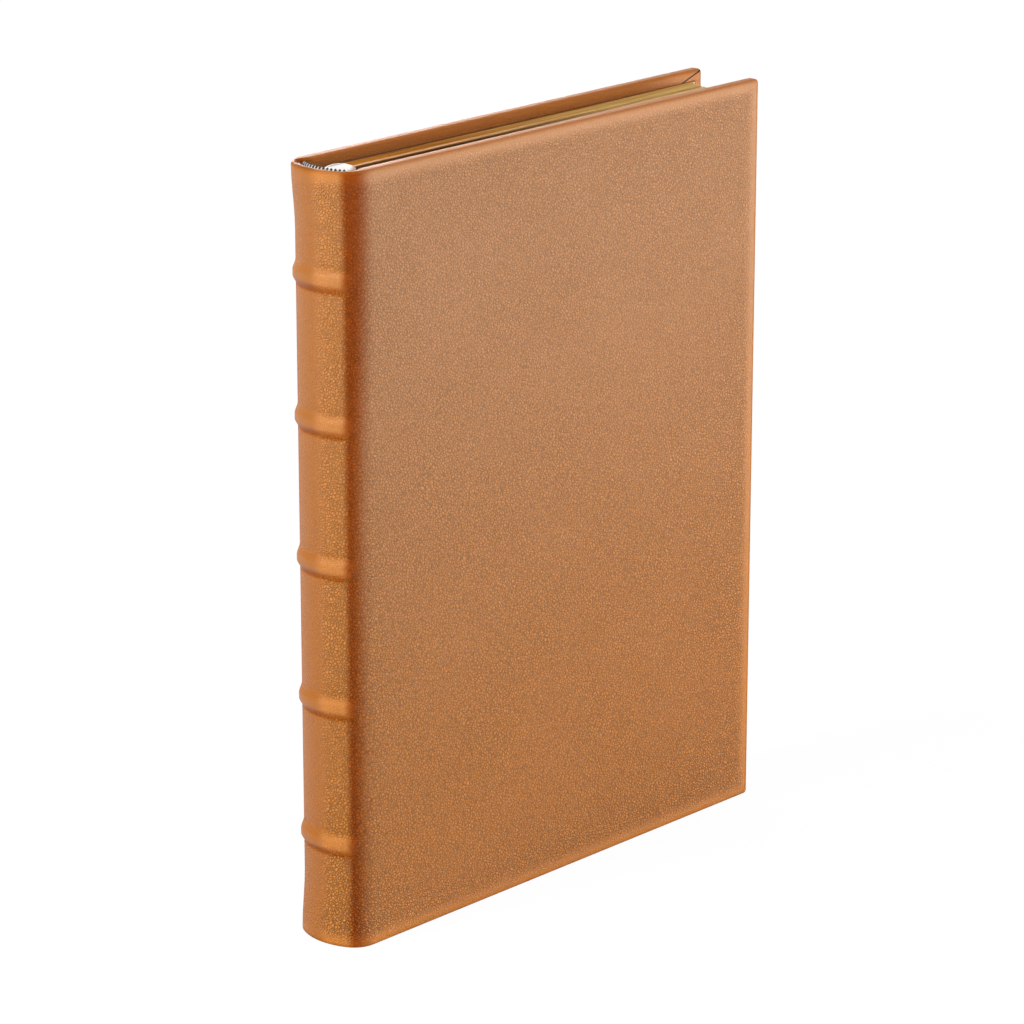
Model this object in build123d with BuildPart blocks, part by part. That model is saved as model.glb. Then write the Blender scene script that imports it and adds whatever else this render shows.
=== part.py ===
from build123d import *
from math import asin, degrees
import os

# Journal in a rounded full leather binding, standing on its tail.
# X runs from the spine to the fore-edge, Y from the front cover to the back cover, Z from tail to head.

# Text block
page_width = 171.5
page_height = 228.6
block_thickness = 18.0
fore_edge_hollow = 3.0
shoulder_gap = 0.2
shoulder_round = 0.8

# Covers
head_square = 3.4
fore_square = 5.5
board_thickness = 2.3
board_gap = 0.4
leather_thickness = 0.9
corner_radius = 2.0
outer_edge_round = 1.3
inner_edge_bevel = 0.5

# Leather turned in round the edges of the boards
turn_in_thickness = 0.5
turn_in_width = 15.0
mitre_run = 13.0
mitre_drop = 4.0
mitre_gap = 0.5

# Endpapers
pastedown_thickness = 0.25
pastedown_margin = 3.4
flyleaf_thickness = 0.25
cover_clearance = 0.25

# Rounded spine
spine_rise = 5.2
joint_radius = 8.0
hinge_setback = 4.6
hinge_seam = 0.2
stiffener_thickness = 0.6
spine_slack = 0.1
lining_thickness = 0.5
cap_swell = 1.3
cap_swell_length = 20.0
cap_round = 0.8

# Raised bands
band_count = 5
band_pitch = 42.75
band_height = 1.8
band_width = 8.0
band_crest_share = 0.2
band_flank_share = 0.5
band_flank_rise = 0.45
core_width = 2.6

# Headbands
bead_width = 2.0
bead_height = 3.2
bead_chamfer = 0.6
bead_end_gap = 0.5
skirt_depth = 12.0

# Ribbon marker
ribbon_width = 7.0
ribbon_thickness = 0.3
ribbon_clearance = 0.1
ribbon_arch_length = 12.6
ribbon_arch_height = 2.2
ribbon_tuck = 6.0
ribbon_end_margin = 18.0

# Sizes that follow
cover_height = page_height + 2 * head_square
board_height = cover_height - 2 * leather_thickness
cover_thickness = leather_thickness + board_thickness + turn_in_thickness
cover_layers = cover_thickness + pastedown_thickness + cover_clearance + flyleaf_thickness
book_thickness = block_thickness + 2 * cover_layers
block_inset = leather_thickness + stiffener_thickness + turn_in_thickness + spine_slack + lining_thickness
turn_in_inset = leather_thickness + stiffener_thickness
lining_inset = block_inset - lining_thickness
book_depth = band_height + block_inset + page_width + fore_square

# Places along X
fore_x = book_depth / 2
spine_x = -book_depth / 2 + band_height
corner_x = spine_x + spine_rise
hinge_x = corner_x + hinge_setback
spine_end_x = hinge_x - hinge_seam / 2
cover_start_x = hinge_x + hinge_seam / 2
board_start_x = hinge_x + board_gap
board_end_x = fore_x - leather_thickness
shoulder_x = hinge_x - shoulder_gap
flyleaf_start_x = shoulder_x + shoulder_round
page_end_x = fore_x - fore_square
spine_radius = ((book_thickness / 2) ** 2 + spine_rise**2) / (2 * spine_rise)
spine_centre_x = spine_x + spine_radius

# Places along Z
head_z = head_square + page_height
middle_z = cover_height / 2
band_levels = [middle_z + band_pitch * (i - (band_count - 1) / 2) for i in range(band_count)]

os.makedirs("parts", exist_ok=True)


def export(builder, label):
    builder.part.label = label
    export_step(builder.part, f"parts/{label}.step")


def spine_outline(z, inset, end_x, swell=0.0):
    """Plan of the rounded spine at height z, taken in by inset and cut off square at end_x."""
    with BuildSketch(Plane.XY.offset(z)) as outline:
        with Locations((spine_centre_x - swell, 0)):
            Circle(spine_radius - inset)
            Rectangle(4 * spine_radius, book_thickness - 2 * inset, mode=Mode.INTERSECT)
        fillet(outline.vertices().group_by(Axis.X)[0], joint_radius - inset)
        with Locations((end_x, 0)):
            Rectangle(
                4 * spine_radius, 2 * book_thickness, align=(Align.MAX, Align.CENTER), mode=Mode.INTERSECT
            )
    return outline.sketch


def rim_edges(builder, end_x):
    """Edges round the top and bottom of a piece of the spine, without those at its cut-off ends."""
    rims = builder.edges().group_by(Axis.Z)[0] + builder.edges().group_by(Axis.Z)[-1]
    return [edge for edge in rims if edge.center().X < end_x - hinge_seam]


# Text block: rounded back with a shoulder for each board, hollow fore-edge and a slit for the ribbon
fore_edge_radius = ((block_thickness / 2) ** 2 + fore_edge_hollow**2) / (2 * fore_edge_hollow)
ribbon_start_x = spine_x + block_inset + bead_width
ribbon_arch_x = ribbon_start_x + ribbon_arch_length / 2
ribbon_leg_x = ribbon_start_x + ribbon_arch_length - ribbon_width / 2
ribbon_tuck_z = head_z - ribbon_tuck
ribbon_end_z = head_square + ribbon_end_margin


def ribbon_tail(clearance):
    """Part of the ribbon that lies between the leaves, seen from the front cover."""
    with BuildSketch(Plane.XZ) as tail:
        with Locations((ribbon_arch_x, ribbon_tuck_z - clearance)):
            Rectangle(
                ribbon_arch_length + 2 * clearance,
                ribbon_tuck + clearance,
                align=(Align.CENTER, Align.MIN),
            )
        with Locations((ribbon_leg_x, ribbon_end_z - clearance)):
            Rectangle(
                ribbon_width + 2 * clearance,
                head_z - ribbon_end_z + clearance,
                align=(Align.CENTER, Align.MIN),
            )
    return tail.sketch


with BuildPart() as text_block:
    extrude(spine_outline(head_square, block_inset, shoulder_x), amount=page_height)
    with BuildSketch(Plane.XY.offset(head_square)):
        with Locations((corner_x, 0)):
            Rectangle(page_end_x - corner_x, block_thickness, align=(Align.MIN, Align.CENTER))
        with Locations((page_end_x - fore_edge_hollow + fore_edge_radius, 0)):
            Circle(fore_edge_radius, mode=Mode.SUBTRACT)
    extrude(amount=page_height)
    inner_corners = [
        edge
        for edge in text_block.edges().filter_by(Axis.Z)
        if abs(edge.center().X - shoulder_x) < shoulder_gap
        and abs(edge.center().Y) < block_thickness / 2 + shoulder_gap
    ]
    fillet(inner_corners, shoulder_round)
    extrude(
        ribbon_tail(ribbon_clearance),
        amount=ribbon_thickness / 2 + ribbon_clearance,
        both=True,
        mode=Mode.SUBTRACT,
    )
export(text_block, "text_block")

# Ribbon marker: tucked between the leaves and arched over the head behind the headband
with BuildPart() as ribbon_marker:
    extrude(ribbon_tail(0), amount=ribbon_thickness / 2, both=True)
    with BuildSketch(Plane.XZ):
        with Locations((ribbon_arch_x, head_z)):
            Ellipse(ribbon_arch_length / 2, ribbon_arch_height)
            Rectangle(
                ribbon_arch_length, ribbon_arch_height, align=(Align.CENTER, Align.MIN), mode=Mode.INTERSECT
            )
    extrude(amount=ribbon_thickness / 2, both=True)
export(ribbon_marker, "ribbon_marker")

# Spine lining: cloth over the back of the text block, between the skirts of the headbands
with BuildPart() as spine_lining:
    lining_z = head_square + skirt_depth
    lining_height = page_height - 2 * skirt_depth
    extrude(spine_outline(lining_z, lining_inset, shoulder_x), amount=lining_height)
    extrude(spine_outline(lining_z, block_inset, hinge_x), amount=lining_height, mode=Mode.SUBTRACT)
export(spine_lining, "spine_lining")

# Headband and tailband: a corded bead along the back edge of the leaves, on a skirt glued to the spine
bead_line_radius = spine_radius - lining_inset - bead_width / 2
bead_reach = degrees(asin((block_thickness / 2 - bead_end_gap) / bead_line_radius))
for label, edge_z, outward in (("head_band", head_z, 1), ("tail_band", head_square, -1)):
    bead_plane = Plane.XY.offset(edge_z + outward * bead_height / 2)
    with BuildPart() as end_band:
        with BuildLine(bead_plane) as bead_line:
            CenterArc((spine_centre_x, 0), bead_line_radius, 180 - bead_reach, 2 * bead_reach)
        bead_end = Plane(origin=bead_line.line @ 0, x_dir=(0, 0, 1), z_dir=bead_line.line % 0)
        with BuildSketch(bead_end) as bead:
            Rectangle(bead_height, bead_width)
            free_side = bead.vertices().group_by(Axis.X)[-1 if outward > 0 else 0]
            chamfer(free_side, bead_chamfer)
        sweep(path=bead_line.line)
        with BuildSketch(bead_plane):
            with Locations((spine_centre_x, 0)):
                Circle(spine_radius - lining_inset)
                Circle(spine_radius - block_inset, mode=Mode.SUBTRACT)
                Rectangle(
                    2 * spine_radius, block_thickness, align=(Align.MAX, Align.CENTER), mode=Mode.INTERSECT
                )
        extrude(amount=-outward * (skirt_depth + bead_height / 2))
    export(end_band, label)

# Spine stiffener: a curved card under the spine leather
with BuildPart() as spine_stiffener:
    extrude(spine_outline(leather_thickness, leather_thickness, corner_x), amount=board_height)
    extrude(spine_outline(leather_thickness, turn_in_inset, hinge_x), amount=board_height, mode=Mode.SUBTRACT)
export(spine_stiffener, "spine_stiffener")

# Raised bands: cores on the stiffener, and the bell shape that the leather takes over them
core_end_x = corner_x - band_height
with BuildPart() as band_core:
    core_plan = spine_outline(-core_width / 2, leather_thickness, core_end_x, band_height)
    extrude(core_plan, amount=core_width)
upper_flank = [(band_crest_share, 1), (band_flank_share, band_flank_rise), (1, 0)]
lower_flank = [(-reach, rise) for reach, rise in reversed(upper_flank)]
with BuildPart() as band_sleeve:
    bell = [
        spine_outline(reach * band_width / 2, 0, spine_end_x, rise * band_height)
        for reach, rise in lower_flank + upper_flank
    ]
    loft(bell, ruled=True)
for number, level in enumerate(band_levels, 1):
    with BuildPart() as raised_band:
        with Locations((0, 0, level)):
            add(band_core.part)
        back = spine_outline(level - core_width, leather_thickness, hinge_x)
        extrude(back, amount=2 * core_width, mode=Mode.SUBTRACT)
    export(raised_band, f"raised_band_{number}")

# Spine leather: drawn over the bands, swelling towards the head and tail, and turned in at both ends
with BuildPart() as spine_leather:
    extrude(spine_outline(0, 0, spine_end_x), amount=cover_height)
    for end_z, inward in ((0, 1), (cover_height, -1)):
        swollen = spine_outline(end_z, 0, spine_end_x, cap_swell)
        straight = spine_outline(end_z + inward * cap_swell_length, 0, spine_end_x)
        loft([swollen, straight])
    for level in band_levels:
        with Locations((0, 0, level)):
            add(band_sleeve.part)
    lined = spine_outline(leather_thickness, leather_thickness, hinge_x)
    extrude(lined, amount=board_height, mode=Mode.SUBTRACT)
    for end_z, inward in ((0, 1), (cover_height, -1)):
        extrude(spine_outline(end_z, turn_in_inset, spine_end_x), amount=inward * turn_in_width)
    hollow = spine_outline(0, turn_in_inset + turn_in_thickness, hinge_x)
    extrude(hollow, amount=cover_height, mode=Mode.SUBTRACT)
    for level in band_levels:
        with Locations((0, 0, level)):
            add(band_core.part, mode=Mode.SUBTRACT)
    fillet(rim_edges(spine_leather, spine_end_x), cap_round)
export(spine_leather, "spine_leather")

# Covers: a board wrapped in leather, with a pastedown inside, and the flyleaf that faces it
for name, side in (("front", -1), ("back", 1)):
    outer_face = Plane(origin=(0, side * book_thickness / 2, middle_z), x_dir=(1, 0, 0), z_dir=(0, side, 0))
    board_face = outer_face.offset(-leather_thickness)
    turn_in_face = board_face.offset(-board_thickness)
    pastedown_face = turn_in_face.offset(-turn_in_thickness)
    flyleaf_face = pastedown_face.offset(-pastedown_thickness - cover_clearance)

    with BuildPart() as cover_board:
        with BuildSketch(board_face) as sheet:
            with Locations((board_start_x, 0)):
                Rectangle(board_end_x - board_start_x, board_height, align=(Align.MIN, Align.CENTER))
            fillet(sheet.vertices().group_by(Axis.X)[-1], corner_radius - leather_thickness)
        extrude(amount=-board_thickness)
    export(cover_board, f"{name}_board")

    with BuildPart() as cover_leather:
        with BuildSketch(outer_face) as sheet:
            with Locations((cover_start_x, 0)):
                Rectangle(fore_x - cover_start_x, cover_height, align=(Align.MIN, Align.CENTER))
            fillet(sheet.vertices().group_by(Axis.X)[-1], corner_radius)
        extrude(amount=-cover_thickness)
        free_edges = cover_leather.edges().filter_by(lambda edge: edge.center().X > cover_start_x + hinge_seam)
        rims = free_edges.group_by(Axis((0, 0, 0), (0, side, 0)))
        fillet(rims[-1], outer_edge_round)
        chamfer(rims[0], inner_edge_bevel)
        with BuildSketch(board_face) as pocket:
            with Locations((hinge_x, 0)):
                Rectangle(board_end_x - hinge_x, board_height, align=(Align.MIN, Align.CENTER))
            fillet(pocket.vertices().group_by(Axis.X)[-1], corner_radius - leather_thickness)
        extrude(amount=-board_thickness, mode=Mode.SUBTRACT)
        with BuildSketch(turn_in_face):
            with Locations((hinge_x, 0)):
                Rectangle(
                    fore_x - turn_in_width - hinge_x,
                    cover_height - 2 * turn_in_width,
                    align=(Align.MIN, Align.CENTER),
                )
        extrude(amount=-turn_in_thickness, mode=Mode.SUBTRACT)
        with BuildSketch(turn_in_face):
            for end in (-1, 1):
                with BuildLine():
                    Polyline(
                        (fore_x, end * cover_height / 2),
                        (fore_x - mitre_run, end * (cover_height / 2 - mitre_drop)),
                        (fore_x - mitre_run, end * (cover_height / 2 - mitre_drop - mitre_gap)),
                        (fore_x, end * (cover_height / 2 - mitre_gap)),
                        close=True,
                    )
                make_face()
        extrude(amount=-turn_in_thickness, mode=Mode.SUBTRACT)
    export(cover_leather, f"{name}_leather")

    with BuildPart() as pastedown:
        with BuildSketch(pastedown_face):
            with Locations((board_start_x, 0)):
                Rectangle(
                    fore_x - pastedown_margin - board_start_x,
                    cover_height - 2 * pastedown_margin,
                    align=(Align.MIN, Align.CENTER),
                )
        extrude(amount=-pastedown_thickness)
        with BuildSketch(pastedown_face):
            with Locations((board_start_x, 0)):
                Rectangle(
                    fore_x - turn_in_width - board_start_x,
                    cover_height - 2 * turn_in_width,
                    align=(Align.MIN, Align.CENTER),
                )
        extrude(amount=turn_in_thickness)
    export(pastedown, f"{name}_pastedown")

    with BuildPart() as flyleaf:
        with BuildSketch(flyleaf_face):
            with Locations((flyleaf_start_x, 0)):
                Rectangle(page_end_x - flyleaf_start_x, page_height, align=(Align.MIN, Align.CENTER))
        extrude(amount=-flyleaf_thickness)
    export(flyleaf, f"{name}_flyleaf")
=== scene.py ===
import bpy
from math import asin, atan2, cos, hypot, radians, sin
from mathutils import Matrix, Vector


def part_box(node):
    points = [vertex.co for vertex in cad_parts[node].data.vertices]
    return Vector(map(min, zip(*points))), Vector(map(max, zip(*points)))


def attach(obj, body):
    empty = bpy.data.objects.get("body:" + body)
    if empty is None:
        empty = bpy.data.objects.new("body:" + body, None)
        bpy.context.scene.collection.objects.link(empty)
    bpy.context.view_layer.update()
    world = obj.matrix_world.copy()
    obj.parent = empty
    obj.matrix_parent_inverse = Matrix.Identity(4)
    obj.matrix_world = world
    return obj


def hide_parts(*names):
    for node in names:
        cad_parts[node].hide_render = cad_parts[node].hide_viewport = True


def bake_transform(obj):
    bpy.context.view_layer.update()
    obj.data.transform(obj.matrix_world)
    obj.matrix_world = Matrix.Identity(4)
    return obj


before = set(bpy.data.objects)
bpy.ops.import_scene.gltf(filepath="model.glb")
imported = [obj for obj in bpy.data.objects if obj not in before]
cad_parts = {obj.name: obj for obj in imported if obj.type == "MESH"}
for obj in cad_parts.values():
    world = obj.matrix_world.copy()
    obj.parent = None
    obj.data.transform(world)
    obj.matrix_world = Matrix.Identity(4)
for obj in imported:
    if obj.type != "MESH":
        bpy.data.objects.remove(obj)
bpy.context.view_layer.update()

book_height = 0.2354
half_book = 0.01345
fore_edge_x = 0.0907
board_back_x = -0.0789
joint_x = -0.079591
joint_y = 0.00545
joint_turn = radians(62.97)
joint_steps = 12
joint_fade = 0.0050
joint_rows = (0.0008, 0.0017, 0.0028, 0.0042)
spine_centre_x = -0.068906
spine_turn = radians(54.06)
spine_steps = 20
cover_thickness = 0.0037
spine_thickness = 0.0018
corner_round = 0.0013
rim_round = 0.00085
sharp_turn = radians(55)
soft_turn = radians(50)
band_levels = [0.0322, 0.07495, 0.1177, 0.16045, 0.2032]
band_pitch = 0.04275
band_height = 0.00138
band_half = 0.0009
band_reach = 0.0029
band_end_x = -0.0856
band_row = 0.00042
panel_rows = (-0.018, -0.011, -0.0065, 0.0065, 0.0100, 0.016)
crease_gap = 0.00378
crease_below = 0.00034
crease_above = 0.00010
crease_reach = 0.0009
cap_swell = 0.0013
cap_edge = 0.0012
cap_reach = 0.019
cap_rows = [0.0017, 0.0026, 0.0036, 0.005, 0.0068, 0.0088, 0.011, 0.0135, 0.0163, 0.0195]


def pick(piece, kind, test):
    bpy.ops.object.mode_set(mode="OBJECT")
    mesh = piece.data
    for group in (mesh.vertices, mesh.edges, mesh.polygons):
        group.foreach_set("select", [False] * len(group))
    if kind == "VERT":
        for corner in mesh.vertices:
            corner.select = test(corner.co)
    else:
        for edge in mesh.edges:
            edge.select = test(*(mesh.vertices[i].co for i in edge.vertices))
    modes = [kind == each for each in ("VERT", "EDGE", "FACE")]
    bpy.context.tool_settings.mesh_select_mode = modes
    bpy.ops.object.mode_set(mode="EDIT")


def apply_place():
    bpy.ops.object.transform_apply(location=True, rotation=True, scale=True)


def extrude(shift):
    bpy.ops.mesh.extrude_region_move(TRANSFORM_OT_translate={"value": shift})


def sweep(steps, turn, centre):
    bpy.ops.mesh.spin(steps=steps, angle=turn, center=centre, axis=(0, 0, 1))


def score(place, normal):
    bpy.ops.mesh.select_all(action="SELECT")
    bpy.ops.mesh.bisect(plane_co=place, plane_no=normal)


def pull(shift, reach):
    bpy.ops.transform.translate(
        value=shift, use_proportional_edit=True, proportional_edit_falloff="SMOOTH",
        proportional_size=reach,
    )


def lay_skin(name, side):
    bpy.ops.object.select_all(action="DESELECT")
    bpy.ops.mesh.primitive_plane_add(size=1, rotation=(radians(90), 0, 0))
    skin = bpy.context.object
    skin.name = name
    skin.data.name = name
    skin.scale = (fore_edge_x - board_back_x, book_height, 1)
    skin.location = ((fore_edge_x + board_back_x) / 2, side * half_book, book_height / 2)
    apply_place()
    pick(skin, "VERT", lambda co: co.x < board_back_x + 1e-6)
    extrude((joint_x - board_back_x, 0, 0))
    sweep(joint_steps, -side * joint_turn, (joint_x, side * joint_y, 0))
    return skin


def build_up_skin(skin, side):
    bpy.ops.mesh.select_all(action="SELECT")
    bpy.ops.mesh.remove_doubles(threshold=1e-6)
    bpy.ops.mesh.normals_make_consistent(inside=False)
    bpy.ops.object.mode_set(mode="OBJECT")
    if skin.data.polygons[0].normal.y * side < 0:
        skin.data.flip_normals()
    build_up = skin.vertex_groups.new(name="build_up")
    thin = spine_thickness / cover_thickness
    for corner in skin.data.vertices:
        past_board = min(1.0, max(0.0, (board_back_x - corner.co.x) / joint_fade))
        build_up.add([corner.index], 1.0 + (thin - 1.0) * past_board, "REPLACE")
    thickness = skin.modifiers.new("thickness", "SOLIDIFY")
    thickness.thickness = cover_thickness
    thickness.offset = -1
    thickness.use_even_offset = True
    thickness.vertex_group = "build_up"
    bpy.ops.object.modifier_apply(modifier="thickness")
    skin.vertex_groups.clear()


def round_skin(skin):
    near = 1e-5
    seam_near = 0.004
    seam_back = 0.003

    def at_end(co):
        return co.z < near or co.z > book_height - near

    def cover_corner(first, last):
        at_fore_edge = min(first.x, last.x) > fore_edge_x - near
        return at_fore_edge and at_end(first) and at_end(last) and abs(first.z - last.z) < near

    def at_seam(co):
        off_seam = atan2(co.y, spine_centre_x - co.x) - spine_turn / 2
        return abs(off_seam) < seam_near and co.x < joint_x - seam_back

    def rim(first, last):
        if abs(first.z - last.z) > book_height / 2:
            return min(first.x, last.x) > 0
        return not (at_seam(first) and at_seam(last))

    pick(skin, "EDGE", cover_corner)
    bpy.ops.mesh.bevel(offset=corner_round, segments=4, affect="EDGES")
    bpy.ops.mesh.select_all(action="DESELECT")
    bpy.ops.mesh.edges_select_sharp(sharpness=sharp_turn)
    bpy.ops.object.mode_set(mode="OBJECT")
    corners = skin.data.vertices
    for edge in skin.data.edges:
        edge.select = edge.select and rim(*(corners[i].co for i in edge.vertices))
    for group in (corners, skin.data.polygons):
        group.foreach_set("select", [False] * len(group))
    bpy.ops.object.mode_set(mode="EDIT")
    bpy.ops.mesh.bevel(offset=rim_round, segments=5, affect="EDGES")


def drape_skin(skin):
    levels = cap_rows + [book_height - level for level in cap_rows]
    for band in band_levels:
        levels += [band + step * band_row for step in range(-12, 13)]
        levels += [band + row for row in panel_rows]
    bpy.ops.mesh.select_mode(type="VERT")
    for level in sorted(levels):
        score((0, 0, level), (0, 0, 1))
    for row in joint_rows:
        score((board_back_x + row, 0, 0), (1, 0, 0))
    cover_x = joint_x + 0.0004
    spine_x = joint_x - 0.0006
    pick(skin, "VERT", lambda co: co.x > cover_x)
    bpy.ops.mesh.hide()
    pick(skin, "VERT", lambda co: co.x < spine_x and co.z < cap_edge)
    pull((-cap_swell, 0, 0), cap_reach)
    pick(skin, "VERT", lambda co: co.x < spine_x and co.z > book_height - cap_edge)
    pull((-cap_swell, 0, 0), cap_reach)
    bpy.ops.mesh.reveal(select=False)
    for band in band_levels:
        pick(skin, "VERT", lambda co: co.x < band_end_x and abs(co.z - band) < band_half)
        pull((-band_height, 0, 0), band_reach)
        for crease, depth in ((band - crease_gap, crease_below), (band + crease_gap, crease_above)):
            pick(skin, "VERT", lambda co: co.x < band_end_x and abs(co.z - crease) < 1e-4)
            pull((depth, 0, 0), crease_reach)
    bpy.ops.object.mode_set(mode="OBJECT")
    bpy.ops.object.shade_smooth_by_angle(angle=soft_turn)


front_skin = lay_skin("front_and_spine_leather", -1)
sweep(spine_steps, spine_turn, (spine_centre_x, 0, 0))
build_up_skin(front_skin, -1)
round_skin(front_skin)
drape_skin(front_skin)


def node(tree, kind, place, **values):
    made = tree.nodes.new(kind)
    made.location = place
    for name, value in values.items():
        if hasattr(made, name):
            setattr(made, name, value)
        else:
            made.inputs[name.replace("_", " ")].default_value = value
    return made


def join(tree, source, target):
    tree.links.new(source, target)


def bare_finish(name, right):
    made = bpy.data.materials.new(name)
    made.use_nodes = True
    tree = made.node_tree
    tree.nodes.clear()
    surface = node(tree, "ShaderNodeOutputMaterial", (right, 0))
    shader = node(tree, "ShaderNodeBsdfPrincipled", (right - 300, 0))
    join(tree, shader.outputs["BSDF"], surface.inputs["Surface"])
    return made, tree, shader


def tone(red, green, blue):
    linear = [(c / 255 + 0.055) / 1.055 for c in (red, green, blue)]
    return tuple(c ** 2.4 for c in linear) + (1,)


def spread(tree, place, value, low, high, to_low=0.0, to_high=1.0, curve="SMOOTHSTEP"):
    made = node(tree, "ShaderNodeMapRange", place, interpolation_type=curve)
    limits = {"From Min": low, "From Max": high, "To Min": to_low, "To Max": to_high}
    for socket, number in limits.items():
        made.inputs[socket].default_value = number
    join(tree, value, made.inputs["Value"])
    return made.outputs["Result"]


def work_out(tree, place, operation, first, second):
    made = node(tree, "ShaderNodeMath", place, operation=operation)
    for socket, value in zip(made.inputs, (first, second)):
        if isinstance(value, float):
            socket.default_value = value
        else:
            join(tree, value, socket)
    return made.outputs["Value"]


def dye(tree, place, amount, under, over, way="MIX"):
    made = node(tree, "ShaderNodeMix", place, data_type="RGBA", blend_type=way)
    for socket, value in ((0, amount), (6, under), (7, over)):
        if isinstance(value, tuple):
            made.inputs[socket].default_value = value
        else:
            join(tree, value, made.inputs[socket])
    return made.outputs[2]


def scale_tone(tree, place, colour, amount):
    made = node(tree, "ShaderNodeVectorMath", place, operation="SCALE")
    join(tree, colour, made.inputs[0])
    join(tree, amount, made.inputs["Scale"])
    return made.outputs["Vector"]


deep_tan = tone(187, 114, 40)
light_tan = tone(198, 124, 49)
head_sheen_tan = tone(190, 138, 96)
joint_shade_brown = tone(150, 68, 2)
under_band_shade_brown = tone(172, 88, 14)
rim_shade_brown = tone(136, 72, 20)
crown_shade_tone = (0.68, 0.62, 0.47, 1)
grain_height = 0.00033
grain_slant = (0, radians(-36.9), radians(-38.3))
grain_stretch = (420, 1000, 1000)
grain_stray = (0.8, 0.8, 0.8)

tan_leather, tree, shader = bare_finish("tan_leather", 1600)
shader.inputs["IOR"].default_value = 1.45
where = node(tree, "ShaderNodeAttribute", (-1800, 0), attribute_name="hide_place")
spot = node(tree, "ShaderNodeSeparateXYZ", (-1600, 700))
join(tree, where.outputs["Vector"], spot.inputs["Vector"])
along, across, up = (spot.outputs[axis] for axis in "XYZ")
from_head = work_out(tree, (-1400, 800), "SUBTRACT", book_height, up)
from_end = work_out(tree, (-1200, 800), "MINIMUM", from_head, up)
from_fore = work_out(tree, (-1400, 650), "SUBTRACT", fore_edge_x, along)
from_edge = work_out(tree, (-1000, 750), "MINIMUM", from_end, from_fore)
either_side = work_out(tree, (-1400, 1150), "ABSOLUTE", across, 0.0)
outer_face = spread(tree, (-300, 1150), either_side, 0.0118, 0.0127)

# the grain: pebbles drawn out along the hide, each a dome with fine pores
flow = node(tree, "ShaderNodeMapping", (-1600, 0), Rotation=grain_slant)
join(tree, where.outputs["Vector"], flow.inputs["Vector"])
drawn_out = node(tree, "ShaderNodeVectorMath", (-1400, 0), operation="MULTIPLY")
drawn_out.inputs[1].default_value = grain_stretch
join(tree, flow.outputs["Vector"], drawn_out.inputs[0])
wander = node(tree, "ShaderNodeTexNoise", (-1200, -250), Scale=0.5, Detail=2.0)
join(tree, drawn_out.outputs["Vector"], wander.inputs["Vector"])
astray = node(tree, "ShaderNodeVectorMath", (-1000, -100), operation="MULTIPLY_ADD")
astray.inputs[1].default_value = grain_stray
join(tree, wander.outputs["Color"], astray.inputs[0])
join(tree, drawn_out.outputs["Vector"], astray.inputs[2])
cells = node(tree, "ShaderNodeTexVoronoi", (-800, -100), feature="DISTANCE_TO_EDGE", Scale=1.28)
join(tree, astray.outputs["Vector"], cells.inputs["Vector"])
pores = node(tree, "ShaderNodeTexNoise", (-800, -400), Scale=2.3, Detail=2.0, Roughness=0.6)
join(tree, drawn_out.outputs["Vector"], pores.inputs["Vector"])
patches = node(tree, "ShaderNodeTexNoise", (-1200, 300), Scale=26.0, Detail=3.0)
join(tree, where.outputs["Vector"], patches.inputs["Vector"])
dome = spread(tree, (-600, -100), cells.outputs["Distance"], 0.0, 0.26)
fine = spread(tree, (-600, -400), pores.outputs["Fac"], 0.32, 0.68, 0.0, 0.6)
pebbles = work_out(tree, (-400, -200), "ADD", dome, fine)

# where the grain is deep or flat: flat at the rims, over the bands and on the crown of the spine
up_spine = work_out(tree, (-1200, 500), "SUBTRACT", up, band_levels[0] - band_pitch / 2)
in_panel = work_out(tree, (-1050, 500), "MODULO", up_spine, band_pitch)
above_band = work_out(tree, (-900, 500), "SUBTRACT", in_panel, band_pitch / 2)
from_band = work_out(tree, (-750, 500), "ABSOLUTE", above_band, 0.0)
off_cover = spread(tree, (-600, 500), along, -0.0872, -0.0850, 1.0, 0.0)
over_band = spread(tree, (-600, 450), from_band, 0.0018, 0.0040, 1.0, 0.0)
over_band = work_out(tree, (-450, 450), "MULTIPLY", over_band, off_cover)
stretched = work_out(tree, (-300, 450), "MULTIPLY", over_band, -0.7)
stretched = work_out(tree, (-150, 450), "ADD", stretched, 1.0)
off_joint = spread(tree, (-450, 1900), along, -0.0855, -0.0835, 1.0, 0.0)
crown = spread(tree, (-450, 1750), across, -0.0040, 0.0012)
crown = work_out(tree, (-300, 1750), "MULTIPLY", crown, off_joint)
smoothed = work_out(tree, (-150, 1750), "MULTIPLY", crown, -0.70)
smoothed = work_out(tree, (0, 1750), "ADD", smoothed, 1.0)
smooth_rim = spread(tree, (-800, 750), from_edge, 0.0010, 0.0060, 0.2, 1.0)
lower_down = spread(tree, (-800, 550), up, 0.0, book_height, 1.0, 0.72)
patchy = spread(tree, (-800, 350), patches.outputs["Fac"], 0.3, 0.7, 0.9, 1.05)
on_spine = spread(tree, (-600, 850), along, -0.0805, -0.0720, 1.10, 1.0)
grain_depth = work_out(tree, (-600, 650), "MULTIPLY", smooth_rim, lower_down)
grain_depth = work_out(tree, (-450, 650), "MULTIPLY", grain_depth, patchy)
grain_depth = work_out(tree, (-300, 650), "MULTIPLY", grain_depth, on_spine)
grain_depth = work_out(tree, (-150, 650), "MULTIPLY", grain_depth, stretched)
grain_depth = work_out(tree, (0, 650), "MULTIPLY", grain_depth, smoothed)
relief = work_out(tree, (-200, -200), "MULTIPLY", pebbles, grain_depth)
edge_line = work_out(tree, (-600, 1000), "SUBTRACT", from_edge, 0.00125)
edge_line = work_out(tree, (-450, 1000), "ABSOLUTE", edge_line, 0.0)
edge_line = spread(tree, (-300, 1000), edge_line, 0.0, 0.00045, 1.0, 0.0)
edge_line = work_out(tree, (-150, 1050), "MULTIPLY", edge_line, outer_face)
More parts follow.
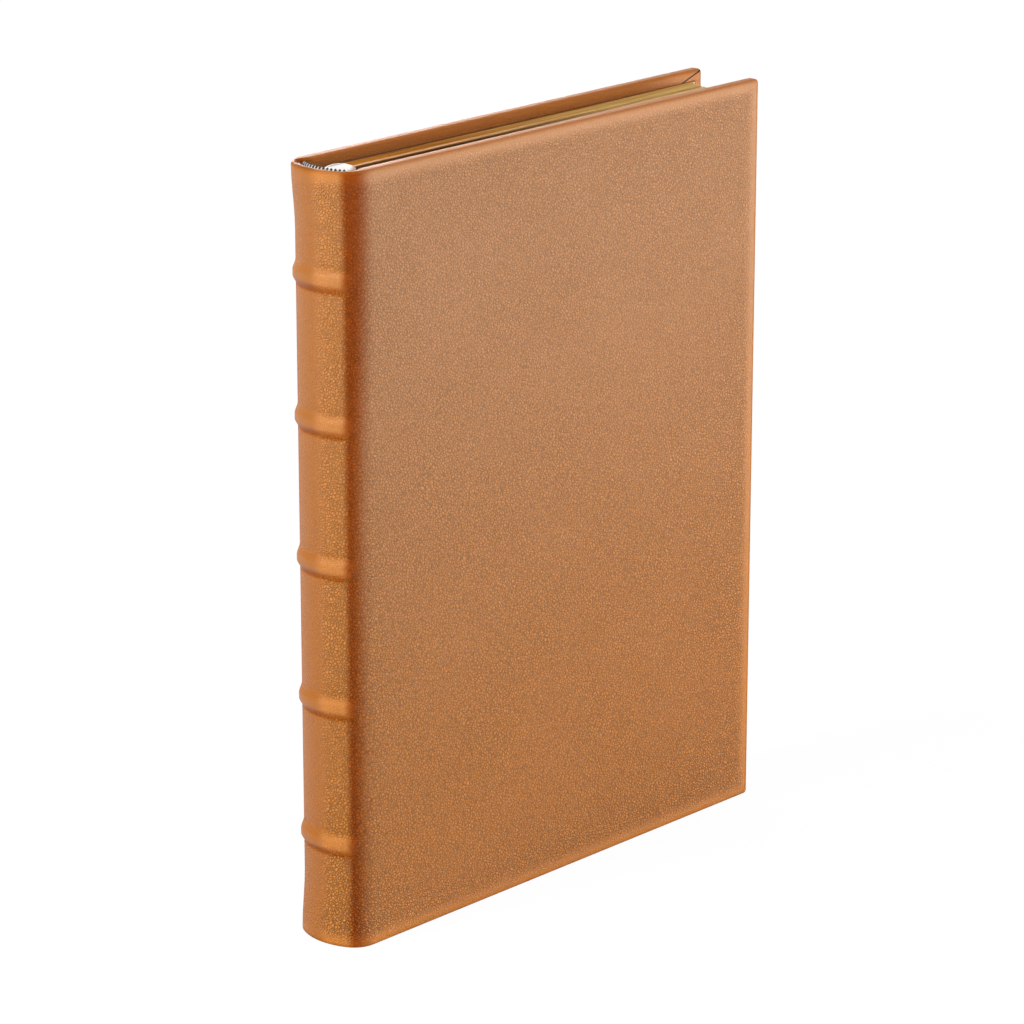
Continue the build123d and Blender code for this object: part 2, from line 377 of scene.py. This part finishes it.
pressed_in = work_out(tree, (-50, -300), "MULTIPLY", edge_line, -0.25)
relief = work_out(tree, (0, -200), "ADD", pressed_in, relief)
grain = node(tree, "ShaderNodeBump", (800, -300), Strength=1.0, Distance=grain_height)
join(tree, relief, grain.inputs["Height"])
join(tree, grain.outputs["Normal"], shader.inputs["Normal"])

# the colour: tan, with a painted sheen paling it toward the head, painted shade in deep brown along
# the joints and below each band, and painted shade on the rims and over the back of the spine's
# round
# painted shade: deep brown along the curve of each joint, deepening the shade that the lights leave
# there
past_joint = work_out(tree, (-1400, 1300), "SUBTRACT", joint_x, along)
outward = work_out(tree, (-1200, 1150), "SUBTRACT", either_side, joint_y)
round_joint = work_out(tree, (-1000, 1250), "ARCTAN2", outward, past_joint)
from_spine = spread(tree, (-800, 1350), round_joint, radians(20), radians(40))
narrowed = spread(tree, (-1000, 1050), up, 0.12, 0.22, radians(18), 0.0)
round_joint = work_out(tree, (-900, 1150), "ADD", round_joint, narrowed)
from_cover = spread(tree, (-800, 1150), round_joint, radians(108), radians(52))
joint_shade = work_out(tree, (-600, 1250), "MULTIPLY", from_spine, from_cover)
# painted shade: deep orange-brown on the underside of each band, where shade falls
under_side = spread(tree, (-600, 1500), above_band, -0.0005, -0.0026)
under_end = spread(tree, (-600, 1650), above_band, -0.0046, -0.0038)
under_band_shade = work_out(tree, (-450, 1550), "MULTIPLY", under_side, under_end)
under_band_shade = work_out(tree, (-300, 1550), "MULTIPLY", under_band_shade, off_cover)
# painted sheen: the leather pales toward the head, standing in for the soft reflection of the
# lights there
head_sheen = spread(tree, (-600, 200), up, 0.02, 0.22, 0.0, 0.75)
head_sheen_face = work_out(tree, (-600, 50), "MAXIMUM", outer_face, 0.28)
head_sheen = work_out(tree, (-450, 200), "MULTIPLY", head_sheen, head_sheen_face)
shaded = work_out(tree, (-150, 550), "MULTIPLY", under_band_shade, 0.75)
# painted shade: darker brown on the rounded rims, toning down the light they catch
rim_shade_reach = spread(tree, (-300, 800), from_edge, 0.0002, 0.0013, 1.0, 0.0)
rim_shade = work_out(tree, (0, 900), "MULTIPLY", rim_shade_reach, 0.60)
outside_joint_shade = work_out(tree, (0, 1300), "SUBTRACT", 1.0, joint_shade)
# painted shade: the back of the spine's round, away from the joint, is darkened and deepened in hue
# against the light falling there
crown_shade = work_out(tree, (150, 1300), "MULTIPLY", crown, outside_joint_shade)
hide_tone = dye(tree, (-600, 300), patches.outputs["Fac"], deep_tan, light_tan)
hide_tone = dye(tree, (-450, 350), head_sheen, hide_tone, head_sheen_tan)
hide_tone = dye(tree, (-300, 350), joint_shade, hide_tone, joint_shade_brown)
hide_tone = dye(tree, (-150, 350), shaded, hide_tone, under_band_shade_brown)
hide_tone = dye(tree, (150, 400), rim_shade, hide_tone, rim_shade_brown)
hide_tone = dye(tree, (300, 400), crown_shade, hide_tone, crown_shade_tone, way="MULTIPLY")
valley = spread(tree, (-400, 100), cells.outputs["Distance"], 0.0, 0.22, -0.42, 0.17)
valley = work_out(tree, (-200, 100), "MULTIPLY", valley, grain_depth)
over_cord = work_out(tree, (-200, 0), "MULTIPLY", over_band, -0.03)
valley = work_out(tree, (-100, 100), "ADD", valley, over_cord)
lit = work_out(tree, (0, 100), "ADD", valley, 1.0)
hide_tone = scale_tone(tree, (400, 200), hide_tone, lit)
join(tree, hide_tone, shader.inputs["Base Color"])

# the polish: a soft sheen, dull at the rubbed edges and where the joints and the band undersides
# carry painted shade
polish = spread(tree, (400, -50), patches.outputs["Fac"], 0.3, 0.7, 0.36, 0.44)
join(tree, polish, shader.inputs["Roughness"])
rubbed = spread(tree, (150, -450), from_edge, 0.0005, 0.0030, 1.0, 0.0)
dulled = work_out(tree, (300, -450), "MAXIMUM", rubbed, joint_shade)
dulled = work_out(tree, (450, -450), "MAXIMUM", dulled, under_band_shade)
sheen = spread(tree, (600, -450), dulled, 0.0, 1.0, 0.36, 0.10)
join(tree, sheen, shader.inputs["Specular IOR Level"])

# painted shade: the raw edges inside the narrow mitre cuts are coloured dark brown, for the shade
# in the cut
shaded_suede_dark = tone(62, 34, 14)
shaded_suede_light = tone(104, 64, 32)
raw_edge, tree, shader = bare_finish("raw_leather_edge", 700)
where = node(tree, "ShaderNodeTexCoord", (-600, 0))
nap = node(tree, "ShaderNodeTexNoise", (-350, 0), Scale=2500.0, Detail=3.0)
join(tree, where.outputs["Object"], nap.inputs["Vector"])
suede = dye(tree, (0, 100), nap.outputs["Fac"], shaded_suede_dark, shaded_suede_light)
join(tree, suede, shader.inputs["Base Color"])
shader.inputs["Roughness"].default_value = 0.9

mitre_length = 0.0150
mitre_drop = radians(17)
mitre_width = 0.00050
mitre_depth = 0.00060
mitre_inset = 0.0064
mitre_rise = 0.0026
mitre_tip = 0.004
mitre_flare = 0.0004


def cut_out(piece, blade, name):
    for finish in piece.data.materials:
        blade.data.materials.append(finish)
    for face in blade.data.polygons:
        face.material_index = 1
    cut = piece.modifiers.new(name, "BOOLEAN")
    cut.object = blade
    cut.operation = "DIFFERENCE"
    cut.solver = "EXACT"
    bpy.ops.object.select_all(action="DESELECT")
    bpy.context.view_layer.objects.active = piece
    piece.select_set(True)
    bpy.ops.object.modifier_apply(modifier=name)
    bpy.data.meshes.remove(blade.data)


def cut_mitres(skin, side):
    skin.data.materials.append(tan_leather)
    skin.data.materials.append(raw_edge)
    inner_face = side * (half_book - cover_thickness)
    for level, down in ((0.0, 1), (book_height, -1)):
        bpy.ops.object.select_all(action="DESELECT")
        middle = (fore_edge_x - mitre_inset, inner_face, level + down * mitre_rise)
        slant = (0, down * mitre_drop, 0)
        bpy.ops.mesh.primitive_cube_add(size=1, location=middle, rotation=slant)
        blade = bpy.context.object
        blade.scale = (mitre_length, 2 * mitre_depth, mitre_width)
        apply_place()
        pick(blade, "VERT", lambda co: co.x > fore_edge_x - mitre_tip)
        bpy.ops.transform.translate(value=(0, 0, -down * mitre_flare))
        bpy.ops.object.mode_set(mode="OBJECT")
        cut_out(skin, blade, "mitre")
    bpy.ops.object.shade_smooth_by_angle(angle=soft_turn)
    hide_place = skin.data.attributes.new("hide_place", "FLOAT_VECTOR", "POINT")
    for corner, place in zip(skin.data.vertices, hide_place.data):
        place.vector = corner.co


cut_mitres(front_skin, -1)
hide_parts("front_leather", "spine_leather")
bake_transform(front_skin)

# Back cover leather: the same skin, carried on from the spine round the back joint and the board.
# It is glued down and turned in round the three free edges.
back_skin = lay_skin("back_leather_skin", 1)
build_up_skin(back_skin, 1)
round_skin(back_skin)
drape_skin(back_skin)
cut_mitres(back_skin, 1)
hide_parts("back_leather")
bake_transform(back_skin)

# Pages: folded gatherings of cream paper, sewn and glued at a rounded spine with shoulders.
# They are trimmed square at head and tail, hollow at the fore-edge, and gilt on all three edges.
page_low = 0.0034
page_high = 0.2320
page_side = 0.0090
page_front_x = 0.0852
shoulder_x = -0.0793
shoulder_side = 0.01085
hollow_reach = 0.012
hollow_turn = 2 * asin(0.6)
hollow_x = page_front_x - 0.004
head_depth = 6e-4
leaf_thickness = 0.00030
leaf_swing = 0.00013
leaf_jitter = 0.0001
leaf_sink = 0.00005
leaf_sink_swing = 0.00018
first_leaf = 0.0004
last_leaf = 0.0003
outer_leaves = 6e-4
outer_drop = 0.0012
parted_from = -0.0006
parted_to = 0.0014
parted_drop = 0.0010
parting_line = 0.0014
bpy.ops.object.select_all(action="DESELECT")
bpy.ops.mesh.primitive_plane_add(size=0.001, location=(page_front_x, -page_side, page_low))
pages = bpy.context.object
pages.name = "gilt_pages"
pages.data.name = "gilt_pages"
apply_place()
bpy.ops.object.mode_set(mode="EDIT")
bpy.ops.mesh.select_mode(type="VERT")
bpy.ops.mesh.select_all(action="SELECT")
bpy.ops.mesh.merge(type="CENTER")
extrude((shoulder_x - page_front_x, 0, 0))
extrude((0, page_side - shoulder_side, 0))
extrude((joint_x - shoulder_x, 0, 0))
sweep(6, joint_turn, (joint_x, -joint_y, page_low))
sweep(12, spine_turn, (spine_centre_x, 0, page_low))
sweep(6, joint_turn, (joint_x, joint_y, page_low))
extrude((shoulder_x - joint_x, 0, 0))
extrude((0, page_side - shoulder_side, 0))
extrude((page_front_x - shoulder_x, 0, 0))
sweep(14, -hollow_turn, (page_front_x + hollow_reach, 0, page_low))
bpy.ops.mesh.select_all(action="SELECT")
bpy.ops.mesh.remove_doubles(threshold=1e-5)
bpy.ops.mesh.select_all(action="SELECT")
bpy.ops.mesh.edge_face_add()
extrude((0, 0, page_high - page_low))
bpy.ops.mesh.select_all(action="SELECT")
bpy.ops.mesh.normals_make_consistent(inside=False)
leaf_lines = []
leaf = -page_side + first_leaf
while leaf < page_side - last_leaf:
    leaf_lines.append(leaf)
    count = len(leaf_lines)
    swing = leaf_swing * (1 + sin(count * 2.399))
    leaf += leaf_thickness + swing + leaf_jitter * (1 + sin(count * 5.1))
for line in leaf_lines:
    score((0, line, 0), (0, 1, 0))


def shift_leaf(test, shift):
    pick(pages, "VERT", test)
    bpy.ops.transform.translate(value=shift)


for count, line in enumerate(leaf_lines):
    sink = leaf_sink + leaf_sink_swing * (1 + sin(count * 3.7)) * (1 + sin(count * 1.31)) / 2
    shift_leaf(lambda co: abs(co.y - line) < 1e-6 and co.z > page_high - 1e-6, (0, 0, -sink))
    shift_leaf(lambda co: abs(co.y - line) < 1e-6 and co.z < page_low + 1e-6, (0, 0, sink))
    shift_leaf(lambda co: abs(co.y - line) < 1e-6 and co.x > hollow_x, (-sink, 0, 0))


def at_head_spine(co):
    return co.z > page_high - head_depth and co.x < 0


def outer_leaf(co):
    return co.y > page_side - outer_leaves and at_head_spine(co)


def parted_leaf(co):
    return parted_from < co.y < parted_to and at_head_spine(co)


shift_leaf(outer_leaf, (0, 0, -outer_drop))
shift_leaf(parted_leaf, (0, 0, -parted_drop))
bpy.ops.object.mode_set(mode="OBJECT")

gilding, tree, shader = bare_finish("gilt_page_edges", 1200)
where = node(tree, "ShaderNodeTexCoord", (-1000, 0))
drawn = node(tree, "ShaderNodeMapping", (-800, 0), Scale=(22, 5200, 22))
join(tree, where.outputs["Object"], drawn.inputs["Vector"])
streak = node(tree, "ShaderNodeTexNoise", (-550, 0), Scale=1.0, Detail=3.0, Roughness=0.65)
join(tree, drawn.outputs["Vector"], streak.inputs["Vector"])


def gold_leaf(place, dark, bright):
    ramp = node(tree, "ShaderNodeValToRGB", place)
    for stop, position, colour in zip(ramp.color_ramp.elements, (0.38, 0.62), (dark, bright)):
        stop.position = position
        stop.color = colour
    join(tree, streak.outputs["Fac"], ramp.inputs["Fac"])
    return ramp.outputs["Color"]


deep_gold = gold_leaf((-300, 150), tone(132, 70, 2), tone(204, 132, 24))
pale_gold = gold_leaf((-300, -150), tone(150, 100, 30), tone(232, 200, 122))
spot = node(tree, "ShaderNodeSeparateXYZ", (-550, 350))
join(tree, where.outputs["Object"], spot.inputs["Vector"])
along, across, up = (spot.outputs[axis] for axis in "XYZ")
to_fore_edge = spread(tree, (-300, 400), along, -0.06, 0.085)
gold = dye(tree, (100, 100), to_fore_edge, deep_gold, pale_gold)
# painted shade: the gilt darkens on leaves that sit below the head or tail, as in a gap, except on
# the fore-edge
from_head = work_out(tree, (100, 400), "SUBTRACT", page_high, up)
from_tail = work_out(tree, (100, 550), "SUBTRACT", up, page_low)
sunk = work_out(tree, (250, 450), "MINIMUM", from_head, from_tail)
sunk_leaf_shade = spread(tree, (400, 450), sunk, 0.0001, 0.0010, 1.0, 0.10)
on_fore_edge = spread(tree, (400, 650), along, 0.080, 0.081)
gilt_shading = work_out(tree, (550, 500), "MAXIMUM", sunk_leaf_shade, on_fore_edge)
# painted shade: a dark line along the head near the spine, where the ribbon parts the leaves
aside = work_out(tree, (100, 700), "SUBTRACT", across, parting_line)
aside = work_out(tree, (250, 700), "ABSOLUTE", aside, 0.0)
parting_shade = spread(tree, (400, 850), aside, 0.0011, 0.0019, -0.88, 0.0)
near_spine = spread(tree, (400, 1050), along, -0.02, 0.075, 1.0, 0.0)
at_head = spread(tree, (400, 1250), up, 0.15, 0.20)
parting_shade = work_out(tree, (550, 850), "MULTIPLY", parting_shade, near_spine)
parting_shade = work_out(tree, (700, 850), "MULTIPLY", parting_shade, at_head)
parting_shade = work_out(tree, (850, 850), "ADD", parting_shade, 1.0)
gilt_shading = work_out(tree, (1000, 600), "MULTIPLY", gilt_shading, parting_shade)
gilt = scale_tone(tree, (650, 200), gold, gilt_shading)
join(tree, gilt, shader.inputs["Base Color"])
burnished = work_out(tree, (650, 0), "MULTIPLY", gilt_shading, 0.5)
join(tree, burnished, shader.inputs["Specular IOR Level"])
shader.inputs["Metallic"].default_value = 0.35
shader.inputs["Roughness"].default_value = 0.34
leaf_edge = node(tree, "ShaderNodeBump", (500, -300), Strength=0.4, Distance=0.00006)
join(tree, streak.outputs["Fac"], leaf_edge.inputs["Height"])
join(tree, leaf_edge.outputs["Normal"], shader.inputs["Normal"])

dull_cream = tone(228, 218, 194)
light_cream = tone(240, 232, 212)
cream_paper, tree, shader = bare_finish("cream_paper", 900)
where = node(tree, "ShaderNodeTexCoord", (-800, 0))
fibres = node(tree, "ShaderNodeTexNoise", (-550, 0), Scale=900.0, Detail=5.0, Roughness=0.7)
join(tree, where.outputs["Object"], fibres.inputs["Vector"])
cloud = node(tree, "ShaderNodeTexNoise", (-550, 250), Scale=45.0, Detail=3.0)
join(tree, where.outputs["Object"], cloud.inputs["Vector"])
paper_tone = dye(tree, (-250, 200), cloud.outputs["Fac"], dull_cream, light_cream)
join(tree, paper_tone, shader.inputs["Base Color"])
shader.inputs["Roughness"].default_value = 0.85
tooth = node(tree, "ShaderNodeBump", (200, -250), Strength=0.25, Distance=0.00005)
join(tree, fibres.outputs["Fac"], tooth.inputs["Height"])
join(tree, tooth.outputs["Normal"], shader.inputs["Normal"])

pages.data.materials.append(gilding)
pages.data.materials.append(cream_paper)
for face in pages.data.polygons:
    trimmed = abs(face.normal.z) > 0.02 or (face.normal.x > 0.5 and face.center.x > 0)
    face.material_index = 0 if trimmed else 1
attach(pages, "book_block")
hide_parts("text_block")

# Endpapers: a folded sheet of plain ivory paper at each end of the pages, its edges gilt too.
# One half is pasted inside the cover over the turned-in leather, the other is the free flyleaf.
# The trimmed edges are painted dark: painted shade on the pastedown edge where it meets the cover,
# and a deep gilt with painted shade on the flyleaf edge.
edge_shade = 0.0004
pastedown_edge_shade = tone(112, 62, 22)
flyleaf_edge_gilt_shade = tone(128, 76, 16)


def dress(name, finish):
    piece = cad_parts[name]
    piece.data.materials.clear()
    piece.data.materials.append(finish)


def endpaper(name, edge_shade_tone):
    low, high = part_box(name)
    made = cream_paper.copy()
    made.name = name + "_paper"
    tree = made.node_tree
    shader = next(each for each in tree.nodes if each.type == "BSDF_PRINCIPLED")
    plain = shader.inputs["Base Color"].links[0].from_socket
    where = node(tree, "ShaderNodeTexCoord", (-800, 500))
    spot = node(tree, "ShaderNodeSeparateXYZ", (-600, 500))
    join(tree, where.outputs["Object"], spot.inputs["Vector"])
    along, up = spot.outputs["X"], spot.outputs["Z"]
    half = edge_shade / 2
    at_head = spread(tree, (-400, 700), up, high[2] - edge_shade, high[2] - half)
    at_tail = spread(tree, (-400, 500), up, low[2] + edge_shade, low[2] + half)
    at_fore = spread(tree, (-400, 300), along, high[0] - edge_shade, high[0] - half)
    trimmed = work_out(tree, (-200, 600), "MAXIMUM", at_head, at_tail)
    trimmed = work_out(tree, (0, 500), "MAXIMUM", trimmed, at_fore)
    edged = dye(tree, (250, 400), trimmed, plain, edge_shade_tone)
    join(tree, edged, shader.inputs["Base Color"])
    dress(name, made)


endpaper("front_pastedown", pastedown_edge_shade)
endpaper("back_pastedown", pastedown_edge_shade)
endpaper("front_flyleaf", flyleaf_edge_gilt_shade)
endpaper("back_flyleaf", flyleaf_edge_gilt_shade)

# Headbands: a cord at head and tail of the spine, wound with black and white silk in turn.
# Each turn lies slantwise beside the last, and the cord follows the round of the spine.
bead_line = 0.016894
bead_reach = radians(29.6)
bead_middle = 0.0016
turn_count = 27
turn_round = 0.00064
turn_height = 1.6
turn_slant = radians(26)
black_thread = 0.00042
white_thread = 0.00029


def fibre(name, colour):
    made, tree, shader = bare_finish(name, 700)
    where = node(tree, "ShaderNodeTexCoord", (-600, 0))
    strands = node(tree, "ShaderNodeTexNoise", (-350, 0), Scale=7000.0, Detail=2.0)
    join(tree, where.outputs["Object"], strands.inputs["Vector"])
    shadow = tone(*[c * 0.85 for c in colour])
    shade = dye(tree, (0, 100), strands.outputs["Fac"], shadow, tone(*colour))
    join(tree, shade, shader.inputs["Base Color"])
    shader.inputs["Roughness"].default_value = 0.5
    fine = node(tree, "ShaderNodeBump", (100, -250), Strength=0.3, Distance=0.00005)
    join(tree, strands.outputs["Fac"], fine.inputs["Height"])
    join(tree, fine.outputs["Normal"], shader.inputs["Normal"])
    return made


black_silk = fibre("black_silk", (16, 13, 12))
white_silk = fibre("white_silk", (226, 222, 212))


def wind_headband(name, level):
    bpy.ops.object.select_all(action="DESELECT")
    turns = []
    for number in range(turn_count):
        angle = bead_reach * (2 * number / (turn_count - 1) - 1)
        dark = number % 2
        bpy.ops.mesh.primitive_torus_add(
            major_radius=turn_round, minor_radius=black_thread if dark else white_thread,
            major_segments=18, minor_segments=7,
            location=(spine_centre_x - bead_line * cos(angle), bead_line * sin(angle), level),
            rotation=(radians(90), 0, turn_slant - angle),
        )
        turn = bpy.context.object
        turn.scale = (1, turn_height, 1)
        turn.data.materials.append(black_silk if dark else white_silk)
        turns.append(turn)
    for turn in turns:
        turn.select_set(True)
    bpy.context.view_layer.objects.active = turns[0]
    bpy.ops.object.join()
    band = bpy.context.object
    band.name = name
    band.data.name = name
    apply_place()
    bpy.ops.object.shade_smooth()
    return band


head_silk = wind_headband("head_band_silk", page_high + bead_middle)
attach(head_silk, "book_block")
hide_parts("head_band")
tail_silk = wind_headband("tail_band_silk", page_low - bead_middle)
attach(tail_silk, "book_block")
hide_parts("tail_band")

# Ribbon marker: a narrow white satin ribbon, glued to the spine of the pages under the headband.
# It comes up in a low arch over the head and goes down between the leaves, in a slot at the middle.
arch_x = -0.0780
arch_half = 0.0063
arch_rise = 0.0022
arch_lean = 0.0024
arch_columns = 9
arch_rows = (0.3, 0.55, 0.8)
lean_from = 0.78
lean_reach = 0.75
tuck_depth = 0.0060
leg_x = -0.0752
leg_half = 0.0035
leg_end = 0.0214
ribbon_thickness = 0.0003
ribbon_turn = radians(40)
slot_half = 0.00025
slot_spare = 0.0001
leg_slot_top = 0.0020
arch_slot_top = 0.0021
leg_back_x = leg_x - leg_half
tuck_level = page_high - tuck_depth
bpy.ops.object.select_all(action="DESELECT")
bpy.ops.mesh.primitive_circle_add(
    vertices=48, radius=1, fill_type="NGON", rotation=(radians(90), 0, 0)
)
ribbon = bpy.context.object
ribbon.name = "satin_ribbon"
ribbon.data.name = "satin_ribbon"
ribbon.scale = (arch_half, arch_rise, 1)
ribbon.location = (arch_x, 0, page_high)
apply_place()
pick(ribbon, "VERT", lambda co: True)
bpy.ops.mesh.bisect(plane_co=(0, 0, page_high), plane_no=(0, 0, 1), clear_inner=True)
pick(ribbon, "VERT", lambda co: co.z < page_high + 1e-6)
extrude((0, 0, -tuck_depth))
score((leg_back_x, 0, 0), (1, 0, 0))
pick(ribbon, "VERT", lambda co: co.z < tuck_level + 1e-6 and co.x > leg_back_x - 1e-6)
extrude((0, 0, leg_end + tuck_depth - page_high))
for step in range(1, 2 * arch_columns):
    score((arch_x - arch_half + step * arch_half / arch_columns, 0, 0), (1, 0, 0))
for share in arch_rows:
    score((0, 0, page_high + share * arch_rise), (0, 0, 1))
pick(ribbon, "VERT", lambda co: co.z > page_high + lean_from * arch_rise)
pull((0, arch_lean, 0), lean_reach * arch_rise)
bpy.ops.object.mode_set(mode="OBJECT")
weave = ribbon.modifiers.new("weave", "SOLIDIFY")
weave.thickness = ribbon_thickness
weave.offset = 0
bpy.ops.object.modifier_apply(modifier="weave")
bpy.ops.object.shade_smooth_by_angle(angle=ribbon_turn)
satin = fibre("white_satin", (255, 254, 252))
ribbon.data.materials.append(satin)
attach(ribbon, "book_block")
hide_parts("ribbon_marker")


def cut_slot(low_x, high_x, low_z, high_z):
    bpy.ops.object.select_all(action="DESELECT")
    middle = ((low_x + high_x) / 2, 0, (low_z + high_z) / 2)
    bpy.ops.mesh.primitive_cube_add(size=1, location=middle)
    blade = bpy.context.object
    blade.scale = (high_x - low_x, 2 * slot_half, high_z - low_z)
    apply_place()
    cut_out(pages, blade, "slot")


cut_slot(
    leg_back_x - slot_spare, leg_x + leg_half + slot_spare,
    leg_end - slot_spare, page_high + leg_slot_top,
)
cut_slot(
    arch_x - arch_half - slot_spare, leg_x, tuck_level - slot_spare, page_high + arch_slot_top
)

# Boards and spine stiffener: grey millboard under each cover and a strip of card down the spine.
# They are glued to the leather, and show nowhere on the finished book.
millboard = fibre("grey_millboard", (150, 142, 130))
for name in ("front_board", "back_board", "spine_stiffener"):
    dress(name, millboard)

# Band cores: five strips of cord glued across the stiffener, over which the leather is drawn.
# They are hidden, and only their shape shows.
cord = fibre("natural_cord", (186, 160, 118))
for number in range(1, 6):
    dress("raised_band_" + str(number), cord)

# Spine lining: open-woven cotton glued over the folds of the pages, under the stiffener.
# It keeps the rounded spine in shape.
mull = fibre("white_mull", (222, 216, 200))
dress("spine_lining", mull)

# Floor: a wide sheet of plain white card that the book stands on.
# It shows white to the camera and keeps a soft shadow under the book.
card_size = 24
card_tone = (0.85, 0.85, 0.85, 1)
card_glow = 0.97
bpy.ops.object.select_all(action="DESELECT")
bpy.ops.mesh.primitive_plane_add(size=card_size, location=(0, 0, 0))
floor = bpy.context.object
floor.name = "floor"
white_card = bpy.data.materials.new("white_card")
white_card.use_nodes = True


def shown_directly(tree):
    path = node(tree, "ShaderNodeLightPath", (-300, 300)).outputs
    seen = work_out(tree, (0, 300), "MAXIMUM", path["Is Camera Ray"], path["Is Glossy Ray"])
    return work_out(tree, (150, 300), "MAXIMUM", seen, path["Is Transmission Ray"])


def blend_shaders(tree, surface, share, lit, shown):
    blended = node(tree, "ShaderNodeMixShader", (600, 0))
    join(tree, share, blended.inputs["Fac"])
    join(tree, lit.outputs[0], blended.inputs[1])
    join(tree, shown.outputs[0], blended.inputs[2])
    join(tree, blended.outputs["Shader"], surface.inputs["Surface"])


tree = white_card.node_tree
tree.nodes.clear()
surface = node(tree, "ShaderNodeOutputMaterial", (900, 0))
matt = node(tree, "ShaderNodeBsdfDiffuse", (300, 100), Color=card_tone)
glow = node(tree, "ShaderNodeEmission", (300, -100), Strength=1.0)
share = work_out(tree, (300, 300), "MULTIPLY", shown_directly(tree), card_glow)
blend_shaders(tree, surface, share, matt, glow)
floor.data.materials.append(white_card)

# Light: one soft box high on the left for the spine, two on the right for the front cover and head,
# one behind for the back cover, and a dim pale surround, so that the joints stay in shade.
surround_level = 0.16
horizon_low = 0.10
horizon_high = 0.35
book_middle = (0, 0, book_height / 2)


def soft_box(name, place, width, height, power):
    bpy.ops.object.light_add(type="AREA", location=place)
    lamp = bpy.context.object
    lamp.name = name
    lamp.data.shape = "RECTANGLE"
    lamp.data.size = width
    lamp.data.size_y = height
    lamp.data.energy = power
    away = [aim - start for aim, start in zip(book_middle, place)]
    flat = hypot(away[0], away[1])
    lamp.rotation_euler = (atan2(flat, -away[2]), 0, atan2(-away[0], away[1]))


soft_box("spine_light", (-1.42, 0.22, 1.50), width=0.6, height=0.6, power=46)
soft_box("cover_light", (1.38, -1.30, 0.19), width=1.0, height=0.34, power=22)
soft_box("top_light", (0.75, -1.00, 1.35), width=0.9, height=0.6, power=12)
soft_box("back_light", (0.9, 1.6, 0.75), width=1.1, height=0.8, power=24)
world = bpy.data.worlds.new("surround")
bpy.context.scene.world = world
world.use_nodes = True
tree = world.node_tree
tree.nodes.clear()
surface = node(tree, "ShaderNodeOutputWorld", (900, 0))
ambient = node(tree, "ShaderNodeBackground", (300, 100), Color=(1, 1, 1, 1))
ambient.inputs["Strength"].default_value = surround_level
horizon = node(tree, "ShaderNodeBackground", (300, -100))
direction = node(tree, "ShaderNodeTexCoord", (-700, -100))
parts = node(tree, "ShaderNodeSeparateXYZ", (-500, -100))
join(tree, direction.outputs["Generated"], parts.inputs["Vector"])
height_fade = spread(
    tree, (-300, -100), parts.outputs["Z"], horizon_low, horizon_high, 1.0, surround_level, "LINEAR"
)
join(tree, height_fade, horizon.inputs["Strength"])
blend_shaders(tree, surface, shown_directly(tree), ambient, horizon)
bpy.context.scene.view_settings.view_transform = "Standard"

# Camera: at the photograph's place, looking a little down on the spine and the front cover.
# It uses a long lens, with no shift and no depth of field.
lens = bpy.data.cameras.new("photo_camera")
lens.sensor_width = 36
lens.lens = 153.41
lens.clip_end = 50
camera = bpy.data.objects.new("photo_camera", lens)
bpy.context.scene.collection.objects.link(camera)
camera.location = (-0.9282, -0.8604, 0.5112)
camera.rotation_euler = (radians(72.55), 0, radians(-46.97))
bpy.context.scene.camera = camera
